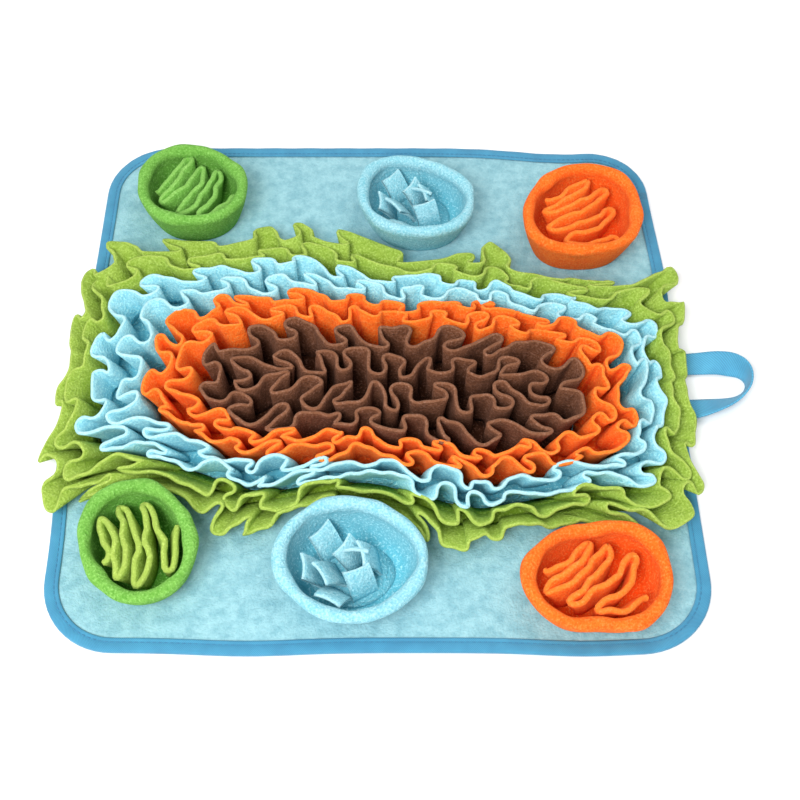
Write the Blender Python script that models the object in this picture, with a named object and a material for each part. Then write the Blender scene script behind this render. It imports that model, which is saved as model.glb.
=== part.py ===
"""Snuffle mat: a bound square of fleece with four ovals of gathered fleece ruffles, six pockets
with their fillings and a webbing loop. Lengths are millimetres in the tables below and are turned
into metres where the meshes are made. +X is right, +Y is away from the viewer, +Z is up, and the
origin is the middle of the mat's underside."""

import math
import random

import bmesh
import bpy
import numpy as np

MM = 0.001
GAP = 0.3

# Mat base and its edge binding
MAT_HALF = 250.0
MAT_CORNER = 57.0
MAT_THICK = 3.0
CORNER_STEPS = 5
SIDE_STEPS = 7
BINDING_WIDTH = 11.0
BINDING_WALL = 1.0
BINDING_RISE = 0.3
BINDING_ROUND = 1.2
BASE_SLOPE = (1.0, 3.5)
EDGE_BULGES = (
    # (centre x, centre y, outward bulge, spread) of the slow waves in the mat's edge
    (-250, -80, 6.0, 60),
    (-250, 40, 2.0, 40),
    (175, 250, -8.0, 60),
    (-95, -250, 2.5, 50),
    (150, -250, 2.5, 45),
    (250, 90, 3.5, 60),
)

# Ruffles: closed ovals of cloth round a common middle. Each strip is sewn down along its middle, so
# that an inner and an outer leaf stand up from it, each folded within its own band.
OVAL_MIDDLE = (-2.0, -20.0)
OVAL_TURN = math.radians(-3.5)
OVALS = (
    # (left, right, near, far reach of the edges, squareness, edge height, lean of the edge)
    (-92, 122, 22, -19, 2.3, 47, -2),
    (-143, 172, 77, 38, 3.0, 43, 9),
    (-185, 210, 105, 73, 3.4, 36, 11),
    (-235, 235, 132, 118, 3.9, 28, 14),
    (-263, 260, 160, 162, 5.0, 18, 22),
)
LEAF_THICK = 2.6
LEAF_CLEARANCE = 0.8
STRIP_THICK = 1.2
# A fold's swing is how far its line runs on along the band at its tip, in pitches. A swing over 3
# folds the cloth back on itself. Folds only loop where they run deep enough, counted in pitches.
PLAIN_SWING = 2.2
LOOP_RUN = 1.3
ROOT_LOOP = 0.4
FOLD_LEAST_STRETCH = 0.5
FOLD_STEPS = (0.12, 0.50, 0.88)
FOLD_SHIFT = 0.16
FOLD_SWAY = 0.2
FOLD_SHORTFALL = 0.25
FOLD_LIFT = 3.0
FULLNESS_RANGE = (0.8, 1.15)
RUFFLES = (
    # (colour, number of folds, share of the depth at the root, swing of full loops, unevenness, seed)
    ("brown", 18, 0.60, 4.4, 0.9, 6),
    ("orange", 26, 0.60, 5.6, 1.0, 14),
    ("blue", 28, 0.55, 4.2, 0.9, 83),
    ("green", 26, 0.72, 4.2, 0.9, 11),
)
FOOT_REACH = 237.0
EDGE_REACH = 263.0
SIDE_EASE = 12.0
DRIFT_ROOT = 0.2
DRIFTS = (
    # (direction that the cloth is moved in, in degrees, wavelength, distance, phase in degrees)
    (90, 58, 5.5, 20),
    (25, 66, 6.0, 130),
    (145, 52, 4.5, 250),
)

# Pockets: cups of doubled fleece with a rolled rim
POCKET_FOOT = 0.80
POCKET_WALL = 5.0
POCKET_ROLL = 11.0
POCKET_STEPS = 18
POCKET_CLEARANCE = 3.5
POCKET_REACH = 75.0
POCKETS = (
    # (name, colour, centre x, y, rim radius to E, NE, N, NW, W, SW, S, SE, height, tilt)
    ("far_left", "leaf", -164, 176, (48, 44, 49, 55, 52, 52, 51, 52), 40, -3),
    ("far_middle", "pale", 36, 168, (51, 43, 45, 56, 55, 56, 55, 57), 38, -4),
    ("far_right", "orange", 178, 146, (55, 60, 54, 47, 50, 59, 55, 58), 42, -3),
    ("near_left", "leaf", -177, -174, (44, 43, 50, 52, 46, 44, 49, 49), 36, 3),
    ("near_middle", "pale", -20, -188, (59, 50, 48, 53, 58, 52, 50, 53), 38, 4),
    ("near_right", "orange", 160, -203, (56, 55, 43, 48, 56, 49, 40, 50), 36, 2),
)
# The strips that are folded back and forth in four of the pockets, and the direction of their runs
FILLING_DIRECTIONS = {"far_left": 62, "far_right": 28, "near_left": 100, "near_right": 48}
FILLING_THICK = 2.6
FILLING_HEIGHT = 25.0
FILLING_RUNS = 7
FILLING_STEPS = (0.0, 0.18, 0.40, 0.60, 0.82)
# Reach as a share of the rim's radius, and swing of the folds, at the strip's foot and its edge
FILLING_FOOT = (0.60, 2.1)
FILLING_EDGE = (0.70, 2.4)
FILLING_SPREAD = 0.88
FILLING_BOW = 0.22
FILLING_LEAN = 2.5
FILLING_SHORTFALL = 0.25
FILLING_RISE = (-5.0, 2.0)
TAB_WIDTH = 18.0
TAB_THICK = 2.4
TAB_DIP = 0.8
BACKING_REACH = 0.56
BACKING_THICK = 2.5
TABS = (
    # (distance from the middle as a share of the rim's radius, direction, turn of the tab, lean
    # from upright, all angles in degrees, and the tab's length)
    (0.36, 20, 100, 34, 22),
    (0.38, 75, 170, 30, 24),
    (0.36, 135, 40, 38, 22),
    (0.38, 190, 95, 32, 23),
    (0.36, 245, 150, 36, 24),
    (0.38, 300, 30, 30, 22),
    (0.10, 30, 60, 28, 25),
    (0.14, 200, 120, 34, 24),
)

# Handle loop of webbing, from its far end round to its near end
STRAP_WIDTH = 20.0
STRAP_THICK = 1.5
STRAP_STEPS = 26
STRAP_ROUTE = (
    # (x, y, height of the middle, turn of the width away from lying flat, in degrees)
    (251.5, 2.0, 2.2, 0),
    (268.0, 2.5, 3.0, 6),
    (287.0, 1.0, 6.5, 25),
    (301.0, -6.0, 10.2, 68),
    (306.5, -17.0, 11.2, 88),
    (302.0, -29.0, 10.6, 78),
    (288.0, -38.0, 9.0, 50),
    (268.0, -42.0, 5.5, 22),
    (251.5, -43.0, 2.6, 6),
)

COLOURS = {
    # name: (red, green, blue in linear light, roughness)
    "aqua": ((0.31, 0.68, 0.76), 0.95),
    "binding": ((0.06, 0.33, 0.60), 0.80),
    "webbing": ((0.06, 0.36, 0.62), 0.70),
    "brown": ((0.22, 0.10, 0.055), 0.95),
    "orange": ((1.0, 0.15, 0.012), 0.95),
    "blue": ((0.36, 0.76, 0.84), 0.95),
    "pale": ((0.36, 0.76, 0.84), 0.95),
    "green": ((0.34, 0.53, 0.07), 0.95),
    "leaf": ((0.21, 0.55, 0.09), 0.95),
}


def clear_scene():
    for obj in list(bpy.data.objects):
        bpy.data.objects.remove(obj, do_unlink=True)


def fabric(name):
    material = bpy.data.materials.get(name)
    if material:
        return material
    colour, roughness = COLOURS[name]
    material = bpy.data.materials.new(name)
    material.use_nodes = True
    shader = material.node_tree.nodes["Principled BSDF"]
    shader.inputs["Base Color"].default_value = (*colour, 1.0)
    shader.inputs["Roughness"].default_value = roughness
    shader.inputs["Metallic"].default_value = 0.0
    material.diffuse_color = (*colour, 1.0)
    return material


def make_object(name, points, faces, colour):
    """An object from points in millimetres and faces as tuples of their numbers."""
    mesh = bpy.data.meshes.new(name)
    mesh.from_pydata([tuple(point) for point in np.asarray(points) * MM], [], faces)
    mesh.validate()
    mesh.shade_smooth()
    mesh.set_sharp_from_angle(angle=math.radians(40))
    mesh.materials.append(fabric(colour))
    obj = bpy.data.objects.new(name, mesh)
    bpy.context.scene.collection.objects.link(obj)
    return obj


def around(values, turns):
    """A smooth closed curve through evenly spaced values, read at turns from 0 to 1."""
    values = np.asarray(values, float)
    place = np.mod(turns, 1.0) * len(values)
    first = np.floor(place).astype(int)
    t = place - first
    before, start, end, after = (values[(first + k) % len(values)] for k in (-1, 0, 1, 2))
    slope_in = (end - before) / 2
    slope_out = (after - start) / 2
    return hermite(start, end, slope_in, slope_out, t)


def hermite(start, end, slope_in, slope_out, t):
    return (
        start * (2 * t**3 - 3 * t**2 + 1)
        + slope_in * (t**3 - 2 * t**2 + t)
        + end * (3 * t**2 - 2 * t**3)
        + slope_out * (t**3 - t**2)
    )


def ring_faces(rows, count, closed_section=True):
    """Faces between count stations of a ring, each with the same number of points in its section.
    Point number is station * rows + row."""
    faces = []
    for station in range(count):
        here = station * rows
        there = (station + 1) % count * rows
        for row in range(rows if closed_section else rows - 1):
            up = (row + 1) % rows
            faces.append((here + row, there + row, there + up, here + up))
    return faces


def mat_outline(inset):
    """The mat's edge as points (x, y), counterclockwise, moved inwards by inset."""
    middle = MAT_HALF - MAT_CORNER
    points = []
    normals = []
    for corner in range(4):
        start = corner * math.pi / 2
        centre = (
            middle * (1 if corner in (0, 3) else -1),
            middle * (1 if corner in (0, 1) else -1),
        )
        for step in range(CORNER_STEPS + 1):
            angle = start + step / CORNER_STEPS * math.pi / 2
            normal = (math.cos(angle), math.sin(angle))
            points.append([centre[k] + MAT_CORNER * normal[k] for k in (0, 1)])
            normals.append(normal)
        side = (-math.sin(angle), math.cos(angle))
        last = points[-1]
        for step in range(1, SIDE_STEPS):
            run = step / SIDE_STEPS * 2 * middle
            points.append([last[k] + run * side[k] for k in (0, 1)])
            normals.append(normal)
    points = np.array(points)
    normals = np.array(normals)
    bulge = np.zeros(len(points))
    for x, y, height, spread in EDGE_BULGES:
        distance = np.hypot(points[:, 0] - x, points[:, 1] - y)
        bulge += height * np.exp(-((distance / spread) ** 2))
    return points + normals * (bulge - inset)[:, None]


def sections_along_edge(section):
    """Points of a section swept round the mat's edge: section holds (inset, height) pairs."""
    rows = [mat_outline(inset) for inset, _ in section]
    count = len(rows[0])
    points = np.empty((count, len(section), 3))
    for k, (_, height) in enumerate(section):
        points[:, k, :2] = rows[k]
        points[:, k, 2] = height
    return points.reshape(-1, 3), count


def make_base():
    """The fleece square, whose edge is raised to leave room for the tape under it."""
    lift = BINDING_WALL + GAP
    section = (
        (BINDING_WIDTH + BASE_SLOPE[1], 0.0),
        (BINDING_WIDTH + BASE_SLOPE[0], lift),
        (BINDING_WALL + GAP, lift),
        (BINDING_WALL + GAP, MAT_THICK),
    )
    points, count = sections_along_edge(section)
    rows = len(section)
    faces = ring_faces(rows, count, closed_section=False)
    faces.append(tuple(station * rows for station in reversed(range(count))))
    faces.append(tuple(station * rows + rows - 1 for station in range(count)))
    make_object("mat_base", points, faces, "aqua")


def make_binding():
    """The tape folded over the edge, open towards the mat."""
    top = MAT_THICK + GAP + BINDING_WALL
    slot = BINDING_WALL
    round_over = BINDING_ROUND
    section = (
        (BINDING_WIDTH, 0.0),
        (round_over, 0.0),
        (0.0, round_over),
        (0.0, top - round_over + BINDING_RISE),
        (round_over, top + BINDING_RISE),
        (BINDING_WIDTH, top),
        (BINDING_WIDTH, top - slot),
        (slot, top - slot),
        (slot, slot),
        (BINDING_WIDTH, slot),
    )
    points, count = sections_along_edge(section)
    make_object("edge_binding", points, ring_faces(len(section), count), "binding")


def oval_wall(number, turns, raised):
    """Points of the wall between two leaves: number 0 is the middle slit, 8 the outermost edge.
    raised is 0 at the foot of the wall and 1 at the cloth's edge. Odd walls lie half-way."""
    low = number // 2
    high = (number + 1) // 2
    left, right, near, far, square, height, lean = (
        (a + b) / 2 for a, b in zip(OVALS[low], OVALS[high])
    )
    inwards = (1 - raised) * lean
    centre = ((left + right) / 2, (far - near) / 2)
    half = ((right - left) / 2 - inwards, (far + near) / 2 - inwards)
    cosine = np.cos(2 * math.pi * turns)
    sine = np.sin(2 * math.pi * turns)
    power = 2 / square
    x = centre[0] + half[0] * np.sign(cosine) * np.abs(cosine) ** power
    y = centre[1] + half[1] * np.sign(sine) * np.abs(sine) ** power
    turn_cos, turn_sin = math.cos(OVAL_TURN), math.sin(OVAL_TURN)
    floor = MAT_THICK + GAP
    return np.stack(
        (
            OVAL_MIDDLE[0] + x * turn_cos - y * turn_sin,
            OVAL_MIDDLE[1] + x * turn_sin + y * turn_cos,
            np.full_like(x, floor + raised * (height - floor)),
        ),
        axis=-1,
    )


def drift(points, raised):
    """Slow sideways waves through all the ruffles together. Each moves the cloth along its own
    wave crests, so that leaves that lay side by side never cross."""
    points = points.copy()
    share = DRIFT_ROOT + (1 - DRIFT_ROOT) * raised
    for degrees, wavelength, distance, phase in DRIFTS:
        along = np.array((math.cos(math.radians(degrees)), math.sin(math.radians(degrees))))
        across = np.array((-along[1], along[0]))
        wave = np.sin(points[:, :2] @ across * 2 * math.pi / wavelength + math.radians(phase))
        points[:, :2] += share * distance * wave[:, None] * along
    return points


def keep_on_mat(points, raised):
    """Draws in the cloth that would reach past the mat's left and right edges, most at its foot."""
    points = points.copy()
    limit = FOOT_REACH + raised * (EDGE_REACH - FOOT_REACH)
    past = np.maximum(np.abs(points[:, 0]) - (limit - SIDE_EASE), 0)
    eased = limit - SIDE_EASE * np.exp(-past / SIDE_EASE)
    points[:, 0] = np.where(past > 0, np.sign(points[:, 0]) * eased, points[:, 0])
    return points


def from_pocket(points, x, y, radii):
    """Each point's offset and distance from a pocket's middle, and the wall's distance there."""
    offset = points[:, :2] - (x, y)
    distance = np.hypot(offset[:, 0], offset[:, 1])
    turns = np.arctan2(offset[:, 1], offset[:, 0]) / (2 * math.pi)
    return offset, distance, around(radii, turns) + POCKET_CLEARANCE


def pocket_pushes():
    """How far each pocket stands into the outermost oval."""
    turns = np.linspace(0, 1, 721)
    pushes = []
    outline = keep_on_mat(drift(oval_wall(8, turns, 1.0), 1.0), 1.0)
    for _, _, x, y, radii, *_ in POCKETS:
        _, distance, wall = from_pocket(outline, x, y, radii)
        pushes.append(max(0.0, float((wall - distance).max())))
    return pushes


def push_from_pockets(points, pushes):
    """Moves cloth away from each pocket's wall, most at the wall and not at all further out."""
    points = points.copy()
    for (_, _, x, y, radii, *_), push in zip(POCKETS, pushes):
        offset, distance, wall = from_pocket(points, x, y, radii)
        outer = wall + POCKET_REACH
        pushed = wall + (distance - wall + push) * POCKET_REACH / (POCKET_REACH + push)
        moved = np.where(distance < outer, pushed, distance)
        points[:, :2] = (x, y) + offset * (moved / distance)[:, None]
    return points


class Band:
    """The room of one leaf between two oval walls, measured along its middle in millimetres."""

    def __init__(self, number):
        self.walls = (number, number + 1)
        self.pushes = pocket_pushes()
        self.turns = np.linspace(0, 1, 2001)
        inner, outer = (oval_wall(wall, self.turns, 1.0) for wall in self.walls)
        steps = np.linalg.norm(np.diff((inner + outer) / 2, axis=0), axis=1)
        self.along = np.concatenate(([0], np.cumsum(steps)))
        self.length = self.along[-1]
        self.squeeze = np.linalg.norm(np.diff(inner, axis=0), axis=1) / steps

    def least_depth(self, along):
        """How near the inner wall a fold may come where that wall turns too tightly for it."""
        middles = (self.along[:-1] + self.along[1:]) / 2
        squeeze = np.interp(np.mod(along, self.length), middles, self.squeeze)
        spread = np.maximum(2 - 2 * squeeze, 1e-6)
        return np.clip((FOLD_LEAST_STRETCH - squeeze) / spread, 0, 0.5)

    def place(self, along, depth, raised, extra_height=0.0):
        """Points at a depth from 0, inner wall, to 1, outer wall, clear of both walls."""
        turns = np.interp(np.mod(along, self.length), self.along, self.turns)
        inner, outer = (oval_wall(wall, turns, raised) for wall in self.walls)
        width = np.linalg.norm((outer - inner)[:, :2], axis=1)
        margin = (LEAF_THICK / 2 + LEAF_CLEARANCE) / width
        points = inner + (outer - inner) * (margin + (1 - 2 * margin) * depth)[:, None]
        points[:, 2] += extra_height
        return push_from_pockets(keep_on_mat(drift(points, raised), raised), self.pushes)


def fold_path(places, depths, swings, steps):
    """A closed back-and-forth line through alternate fold tips, as distances along and depths."""
    along = []
    depth = []
    for k in range(len(places) - 1):
        for t in steps:
            along.append(hermite(places[k], places[k + 1], swings[k], swings[k + 1], t))
            depth.append(hermite(depths[k], depths[k + 1], 0.0, 0.0, t))
    return np.array(along), np.array(depth)


def nearest_tip(places):
    """How far each fold tip is from the nearer of its two neighbours, round a closed line."""
    ahead = np.diff(places)
    nearer = np.minimum(ahead, np.roll(ahead, 1))
    return np.append(nearer, nearer[0])


def leaf_paths(band, folds, root_share, fullness, unevenness, chance):
    """The root and the edge of one gathered leaf, as points in step with each other. Each fold tip
    has its own shift along the band, sway of its edge, shortfall from the wall, swing and lift."""
    tips = 2 * folds
    pitch = band.length / tips
    shift = [chance.uniform(-FOLD_SHIFT, FOLD_SHIFT) * unevenness for _ in range(tips)]
    sway = [chance.uniform(-FOLD_SWAY, FOLD_SWAY) * unevenness for _ in range(tips)]
    reach = [chance.uniform(0.0, FOLD_SHORTFALL) * unevenness for _ in range(tips)]
    full = [fullness * chance.uniform(*FULLNESS_RANGE) for _ in range(tips)]
    lift = [chance.uniform(-FOLD_LIFT, FOLD_LIFT) * unevenness for _ in range(tips)]
    for values in (shift, sway, reach, full, lift):
        values.append(values[0])
    whole = range(tips + 1)
    root_places = [(k + shift[k] + sway[k] / 2) * pitch for k in whole]
    edge_places = [(k + shift[k] + sway[k]) * pitch for k in whole]
    least = band.least_depth(np.array(edge_places))
    inner_tip = [k % 2 == 0 for k in whole]
    edge_depths = [max(reach[k], least[k]) if inner_tip[k] else 1 - reach[k] for k in whole]
    root_depths = [0.5 + root_share * (depth - 0.5) for depth in edge_depths]
    ends = [band.place(np.array(edge_places), np.full(tips + 1, end), 1.0) for end in (0.0, 1.0)]
    runs = np.linalg.norm(ends[1] - ends[0], axis=1)[:-1] * np.abs(np.diff(edge_depths))
    shorter_run = np.minimum(runs, np.roll(runs, 1))
    loops = np.clip(np.append(shorter_run, shorter_run[0]) / (LOOP_RUN * pitch), 0, 1) ** 2
    swings = nearest_tip(edge_places) * (PLAIN_SWING + (np.array(full) - PLAIN_SWING) * loops)
    root_fullness = PLAIN_SWING + ROOT_LOOP * (np.array(full) - PLAIN_SWING) * loops
    root_swings = nearest_tip(root_places) * root_fullness
    root = band.place(*fold_path(root_places, root_depths, root_swings, FOLD_STEPS), 0.0)
    lifts = [hermite(lift[k], lift[k + 1], 0, 0, t) for k in range(tips) for t in FOLD_STEPS]
    edge = band.place(*fold_path(edge_places, edge_depths, swings, FOLD_STEPS), 1.0, np.array(lifts))
    return root, edge


def side_normals(path, leaf_direction):
    """Unit vectors to the right of a closed path, across the cloth, lengthened at its corners."""
    ahead = np.roll(path, -1, axis=0) - path
    ahead /= np.linalg.norm(ahead, axis=1)[:, None]
    behind = np.roll(ahead, 1, axis=0)
    across = [np.cross(run, leaf_direction) for run in (ahead, behind)]
    across = [run / np.linalg.norm(run, axis=1)[:, None] for run in across]
    middle = across[0] + across[1]
    middle /= np.linalg.norm(middle, axis=1)[:, None]
    widen = 1 / np.clip((middle * across[0]).sum(axis=1), 0.75, 1.0)
    return middle * widen[:, None]


def at_height(points, height):
    points = points.copy()
    points[:, 2] = height
    return points


def leaf_lines(root, edge, thick, inner_foot, outer_foot):
    """The four lines of a leaf: inner foot, inner edge, outer edge and outer foot."""
    upwards = np.zeros_like(root)
    upwards[:, 2] = 1.0
    direction = edge - root
    direction /= np.linalg.norm(direction, axis=1)[:, None]
    root_side = side_normals(root, upwards) * thick / 2
    edge_side = side_normals(edge, direction) * thick / 2
    return [
        at_height(root - root_side, inner_foot),
        edge - edge_side,
        edge + edge_side,
        at_height(root + root_side, outer_foot),
    ]


def folded_faces(rows, count, leans, closed=True):
    """Triangles along a strip of folded cloth, with rows points at each station. leans gives a
    flag for the gap above each row: true where its diagonals run from the lower row here to the
    upper row ahead, so that both faces of a leaf can share the same diagonals."""
    faces = []
    for station in range(count if closed else count - 1):
        here = station * rows
        there = (station + 1) % count * rows
        for row in range(rows):
            up = (row + 1) % rows
            a, b, c, d = here + row, there + row, there + up, here + up
            if leans[row]:
                faces += [(a, d, c), (a, c, b)]
            else:
                faces += [(a, d, b), (b, d, c)]
    return faces


def make_ruffle(number, colour, folds, root_share, fullness, unevenness, seed):
    """A strip sewn down along its middle in a closed oval, its two leaves folded and spread."""
    chance = random.Random(seed)
    floor = MAT_THICK + GAP
    crook = floor + STRIP_THICK
    shape = (folds, root_share, fullness, unevenness)
    inner = leaf_paths(Band(2 * number), *shape, chance)
    outer = leaf_paths(Band(2 * number + 1), *shape, chance)
    inner_lines = leaf_lines(*inner, LEAF_THICK, floor, crook)
    outer_lines = leaf_lines(*outer, LEAF_THICK, crook, floor)
    points = np.stack(inner_lines + outer_lines, axis=1)
    count = len(points)
    faces = folded_faces(8, count, 2 * (True, True, False, True))
    make_object(f"ruffle_{colour}", points.reshape(-1, 3), faces, colour)


def make_pocket(name, colour, x, y, radii, height, tilt):
    """The pocket's wall: it leans out from its foot and is rolled over at its rim."""
    turns = np.arange(POCKET_STEPS) / POCKET_STEPS
    rim = around(radii, turns)
    top = height + tilt * np.sin(2 * math.pi * turns)
    floor = MAT_THICK + GAP
    foot = rim * POCKET_FOOT
    roll = POCKET_ROLL
    level = np.full(POCKET_STEPS, floor)
    half_way = (foot + rim) / 2 + 1.0
    half_up = (floor + top) / 2
    section = (
        (foot - POCKET_WALL, level),
        (foot, level),
        (half_way, half_up),
        (rim, top - 0.5 * roll),
        (rim - 0.25 * roll, top - 0.06 * roll),
        (rim - 0.70 * roll, top),
        (rim - roll, top - 0.45 * roll),
        (half_way - 1.2 * POCKET_WALL, half_up),
    )
    points = np.empty((POCKET_STEPS, len(section), 3))
    for k, (radius, height_here) in enumerate(section):
        points[:, k, 0] = x + radius * np.cos(2 * math.pi * turns)
        points[:, k, 1] = y + radius * np.sin(2 * math.pi * turns)
        points[:, k, 2] = height_here
    faces = ring_faces(len(section), POCKET_STEPS)
    make_object(f"pocket_{name}", points.reshape(-1, 3), faces, colour)


def make_fold_filling(name, colour, x, y, radii, direction, seed):
    """A strip folded back and forth across the pocket, its runs bowed one inside another."""
    chance = random.Random(seed)
    tips = FILLING_RUNS + 1
    pitch = 2 * FILLING_SPREAD / FILLING_RUNS
    places = [-FILLING_SPREAD + (k + chance.uniform(-0.15, 0.15)) * pitch for k in range(tips)]
    short = [chance.uniform(0.0, FILLING_SHORTFALL) for _ in range(tips)]
    rise = [chance.uniform(*FILLING_RISE) for _ in range(tips)]
    ends = [math.sqrt(1 - place**2) * (1 - lost) for place, lost in zip(places, short)]
    ends = [end if k % 2 else -end for k, end in enumerate(ends)]
    lift = [hermite(rise[k], rise[k + 1], 0, 0, t) for k in range(tips - 1) for t in FILLING_STEPS]
    floor = MAT_THICK + GAP
    axis = math.radians(direction)
    layers = []
    for (reach, swing), level, lean in (
        (FILLING_FOOT, np.full(len(lift), floor), 0.0),
        (FILLING_EDGE, FILLING_HEIGHT + np.array(lift), FILLING_LEAN),
    ):
        across, along = fold_path(places, ends, [swing * pitch] * tips, FILLING_STEPS)
        across += FILLING_BOW * (0.5 - along**2)
        turns = (np.arctan2(along, across) + axis - math.pi / 2) / (2 * math.pi)
        radius = around(radii, turns) * reach * np.hypot(across, along)
        angle = 2 * math.pi * turns
        layers.append(
            np.stack(
                (
                    x + radius * np.cos(angle) + lean * math.sin(axis),
                    y + radius * np.sin(angle) - lean * math.cos(axis),
                    level,
                ),
                axis=-1,
            )
        )
    root, edge = layers
    points = np.stack(leaf_lines(root, edge, FILLING_THICK, floor, floor), axis=1)[1:-1]
    faces = folded_faces(4, len(points), (True, True, False, True), closed=False)
    last = 4 * (len(points) - 1)
    faces.append((3, 2, 1, 0))
    faces.append((last, last + 1, last + 2, last + 3))
    make_object(f"filling_{name}", points.reshape(-1, 3), faces, colour)


def block(corners):
    """A six-sided solid from its bottom four and its top four corners."""
    bm = bmesh.new()
    verts = [bm.verts.new([value * MM for value in corner]) for corner in corners]
    for face in (
        (3, 2, 1, 0),
        (4, 5, 6, 7),
        (0, 1, 5, 4),
        (1, 2, 6, 5),
        (2, 3, 7, 6),
        (3, 0, 4, 7),
    ):
        bm.faces.new([verts[k] for k in face])
    mesh = bpy.data.meshes.new("tab")
    bm.to_mesh(mesh)
    bm.free()
    return mesh


def make_tab_filling(name, colour, x, y, radii):
    """Square-cut tabs standing at all angles on one small backing."""
    turns = np.arange(12) / 12
    floor = MAT_THICK + GAP
    radius = around(radii, turns) * BACKING_REACH
    ring = [
        (x + r * math.cos(2 * math.pi * t), y + r * math.sin(2 * math.pi * t))
        for r, t in zip(radius, turns)
    ]
    points = [(*place, level) for level in (floor, floor + BACKING_THICK) for place in ring]
    count = len(ring)
    faces = [tuple(reversed(range(count))), tuple(range(count, 2 * count))]
    faces += [(k, (k + 1) % count, (k + 1) % count + count, k + count) for k in range(count)]
    filling = make_object(f"filling_{name}", points, faces, colour)
    for number, (share, direction, turn, lean, length) in enumerate(TABS):
        distance = share * float(around(radii, np.array([direction / 360]))[0])
        place = (
            x + distance * math.cos(math.radians(direction)),
            y + distance * math.sin(math.radians(direction)),
        )
        along = np.array((math.cos(math.radians(turn)), math.sin(math.radians(turn)), 0.0))
        across = np.array((-along[1], along[0], 0.0))
        tipped = math.radians(lean)
        rise = math.cos(tipped) * np.array((0, 0, 1)) + math.sin(tipped) * across
        root = np.array((*place, floor + TAB_DIP))
        normal = np.cross(along, rise)
        corners = [
            root + level * length * rise + side * TAB_WIDTH / 2 * along + face * TAB_THICK / 2 * normal
            for level in (0, 1)
            for side, face in ((-1, 1), (-1, -1), (1, -1), (1, 1))
        ]
        for corner in corners[:4]:
            corner[2] = floor + TAB_DIP
        tab = bpy.data.objects.new(f"tab_{name}_{number}", block(corners))
        bpy.context.scene.collection.objects.link(tab)
        tab.hide_render = True
        tab.display_type = "WIRE"
        union = filling.modifiers.new(f"tab {number}", "BOOLEAN")
        union.operation = "UNION"
        union.solver = "EXACT"
        union.object = tab


def make_strap():
    """The webbing loop: it lies flat at the mat and stands on its edge round the bend."""
    route = np.array(STRAP_ROUTE, float)
    places = np.linspace(0, len(route) - 1, STRAP_STEPS)
    first = np.minimum(places.astype(int), len(route) - 2)
    t = (places - first)[:, None]
    padded = np.vstack((2 * route[0] - route[1], route, 2 * route[-1] - route[-2]))
    before, start, end, after = (padded[first + k] for k in range(4))
    smooth = hermite(start, end, (end - before) / 2, (after - start) / 2, t)
    middle = smooth[:, :3]
    turn = np.radians(smooth[:, 3])
    ahead = np.gradient(middle, axis=0)
    ahead[0] = ahead[-1] * (-1, 1, 1)
    ahead /= np.linalg.norm(ahead, axis=1)[:, None]
    level = np.cross((0, 0, 1), ahead)
    level /= np.linalg.norm(level, axis=1)[:, None]
    raised = np.cross(ahead, level)
    width = level * np.cos(turn)[:, None] + raised * np.sin(turn)[:, None]
    through = np.cross(ahead, width)
    points = np.empty((STRAP_STEPS, 4, 3))
    for k, (side, face) in enumerate(((1, -1), (1, 1), (-1, 1), (-1, -1))):
        points[:, k] = middle + side * STRAP_WIDTH / 2 * width + face * STRAP_THICK / 2 * through
    faces = folded_faces(4, STRAP_STEPS, (True, True, True, False), closed=False)
    last = 4 * (STRAP_STEPS - 1)
    faces.append((3, 2, 1, 0))
    faces.append((last, last + 1, last + 2, last + 3))
    obj = make_object("handle_loop", points.reshape(-1, 3), faces, "webbing")
    bm = bmesh.new()
    bm.from_mesh(obj.data)
    bmesh.ops.recalc_face_normals(bm, faces=bm.faces)
    bm.to_mesh(obj.data)
    bm.free()


def main():
    clear_scene()
    make_base()
    make_binding()
    make_strap()
    for number, row in enumerate(RUFFLES):
        make_ruffle(number, *row)
    for number, pocket in enumerate(POCKETS):
        make_pocket(*pocket)
        name, *_ = pocket
        if name in FILLING_DIRECTIONS:
            make_fold_filling(*pocket[:5], FILLING_DIRECTIONS[name], number + 1)
        else:
            make_tab_filling(*pocket[:5])


main()
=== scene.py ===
"""The snuffle mat's cloth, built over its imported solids: finer folds, nap, tape, stitches and
tabs. Tables are in millimetres, as the mat was measured, and become metres in the meshes."""

import math
import random

import bpy
import numpy as np
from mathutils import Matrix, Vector


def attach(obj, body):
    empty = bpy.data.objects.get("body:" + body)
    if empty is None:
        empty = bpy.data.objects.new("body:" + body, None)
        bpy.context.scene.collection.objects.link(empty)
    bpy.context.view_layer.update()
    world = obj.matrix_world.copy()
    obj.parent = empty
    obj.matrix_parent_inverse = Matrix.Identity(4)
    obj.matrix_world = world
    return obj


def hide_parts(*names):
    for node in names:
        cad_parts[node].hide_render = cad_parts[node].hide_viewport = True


MM = 0.001
GAP = 0.3
TINY = 1e-9

# Camera, fitted to the corners of the mat
CAMERA_PLACE = (0.00076, -0.54692, 0.81625)
CAMERA_PITCH = 57.7313
CAMERA_LENS = 52.51
CAMERA_SHIFT = 0.02676
CAMERA_SENSOR = 36.0

# Floor and light, in metres and watts
FLOOR_HALF = 6.0
FLOOR_DROP = 0.0006
FLOOR_GREY = 0.93
FLOOR_ROUGHNESS = 0.9
WORLD_STRENGTH = 0.62
LIGHTS = (
    # (name, place, power, side)
    ("soft key", (-0.50, -0.95, 1.3), 28.0, 0.8),
    ("soft fill", (0.5, 0.5, 1.6), 9.0, 1.2),
)

# Mat base and its tape
MAT_HALF = 250.0
MAT_CORNER = 57.0
MAT_THICK = 3.0
CORNER_STEPS = 14
SIDE_STEPS = 44
SHEET_TUCK = 2.5
SHEET_SINK = 0.3
SHEET_EDGE_SINK = 0.4
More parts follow.
